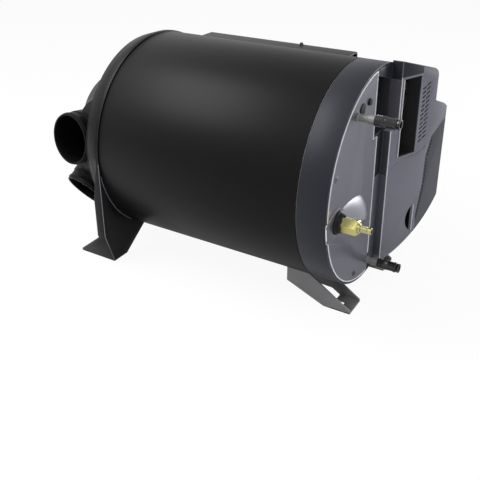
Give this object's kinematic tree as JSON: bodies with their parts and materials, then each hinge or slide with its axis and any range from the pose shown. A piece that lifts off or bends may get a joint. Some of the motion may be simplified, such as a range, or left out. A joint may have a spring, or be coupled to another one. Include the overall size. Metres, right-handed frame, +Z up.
{
  "type": "caravan water heater",
  "caption": "Horizontal drum heater for a caravan that warms air and water: dark jacket on a moulded cradle and sheet feet, air outlets, water and gas inlets and a wedge-shaped cover.",
  "frame": {"origin": "midway between the two left floor bolts, at floor level", "axes": "+X along the drum towards the connection end, +Y to the flue at the rear, +Z up"},
  "size_m": [0.4936, 0.3315, 0.3015],
  "materials": {
    "jacket_skin": "satin black moulded skin",
    "foam": "expanded foam",
    "stainless": "satin stainless sheet",
    "cradle_plastic": "satin dark grey moulding",
    "outlet_plastic": "satin dark grey moulding",
    "fan_plastic": "moulded",
    "bright_steel": "ground",
    "motor_paint": "satin",
    "bearing_bronze": "sintered",
    "ceramic": "glazed ceramic",
    "cap_plastic": "satin slate grey moulding",
    "plate_metal": "matt lilac grey pressing",
    "channel_plastic": "matt black moulding",
    "seal_rubber": "matt",
    "brass": "dull machined brass",
    "valve_alloy": "cast",
    "pipe_steel": "drawn",
    "fitting_gloss": "glossy black",
    "tray_plastic": "matt",
    "cover_plastic": "satin lilac grey moulding",
    "rear_cover_plastic": "satin dark grey moulding",
    "board_green": "solder mask",
    "duct_plastic": "satin black moulding",
    "foot_steel": "satin plated sheet"
  },
  "bodies": {
    "heater": {"jacket": "jacket_skin", "foam_shell": "foam", "water_tank": "stainless", "left_cradle": "cradle_plastic", "air_manifold": "cradle_plastic", "outlet_front_upper": "outlet_plastic", "outlet_front_lower": "outlet_plastic", "outlet_rear_upper": "outlet_plastic", "outlet_rear_lower": "outlet_plastic", "circulation_motor": "motor_paint", "circulation_bush": "bearing_bronze", "heat_exchanger": "stainless", "burner_tube": "stainless", "burner_head": "stainless", "ignition_electrodes": "ceramic", "exhaust_collector": "stainless", "exhaust_stub": "stainless", "flue_saddle": "stainless", "air_collar": "stainless", "right_cap": "cap_plastic", "combustion_case": "motor_paint", "combustion_motor": "motor_paint", "combustion_bush": "bearing_bronze", "end_plate": "plate_metal", "cable_channel": "channel_plastic", "gas_flange": "seal_rubber", "gas_inlet": "brass", "gas_valve_body": "valve_alloy", "gas_coil_main": "channel_plastic", "gas_coil_stage": "channel_plastic", "gas_feed": "bearing_bronze", "hot_pipe": "pipe_steel", "hot_fitting": "fitting_gloss", "hot_seal": "seal_rubber", "cold_pipe": "pipe_steel", "cold_fitting": "fitting_gloss", "cold_seal": "seal_rubber", "electronics_tray": "tray_plastic", "electronics_cover": "cover_plastic", "rear_cover": "rear_cover_plastic", "connector_well": "channel_plastic", "signal_sockets": "channel_plastic", "control_board": "board_green", "board_parts": "channel_plastic", "reset_switch": "channel_plastic", "water_sensor": "bearing_bronze", "rear_duct": "duct_plastic", "right_foot_front": "foot_steel", "right_foot_rear": "foot_steel", "manifold_screws": "bright_steel", "plate_screws": "bright_steel"},
    "circulation_fan": {"circulation_wheel": "fan_plastic", "circulation_shaft": "bright_steel"},
    "combustion_fan": {"combustion_wheel": "fan_plastic", "combustion_shaft": "bright_steel"},
    "main_plunger": {"gas_plunger_main": "bright_steel"},
    "stage_plunger": {"gas_plunger_stage": "bright_steel"},
    "hot_release": {"hot_collet": "fitting_gloss"},
    "cold_release": {"cold_collet": "fitting_gloss"},
    "reset": {"reset_button": "channel_plastic"}
  },
  "joints": [
    {"name": "circulation_spin", "type": "hinge", "parent": "heater", "child": "circulation_fan", "pos_m": [-0.03, 0, 0.16], "axis": [1, 0, 0], "continuous": true},
    {"name": "combustion_spin", "type": "hinge", "parent": "heater", "child": "combustion_fan", "pos_m": [0.34, 0, 0.16], "axis": [1, 0, 0], "continuous": true},
    {"name": "main_lift", "type": "slide", "parent": "heater", "child": "main_plunger", "axis": [0, 0, 1], "range_m": [0, 0.002], "stiffness_N_per_m": 400},
    {"name": "stage_lift", "type": "slide", "parent": "heater", "child": "stage_plunger", "axis": [0, 0, 1], "range_m": [0, 0.002], "stiffness_N_per_m": 400},
    {"name": "hot_push", "type": "slide", "parent": "heater", "child": "hot_release", "axis": [-1, 0, 0], "range_m": [0, 0.0015], "stiffness_N_per_m": 500},
    {"name": "cold_push", "type": "slide", "parent": "heater", "child": "cold_release", "axis": [-1, 0, 0], "range_m": [0, 0.0015], "stiffness_N_per_m": 500},
    {"name": "reset_push", "type": "slide", "parent": "heater", "child": "reset", "axis": [-1, 0, 0], "range_m": [0, 0.002], "stiffness_N_per_m": 400}
  ]
}
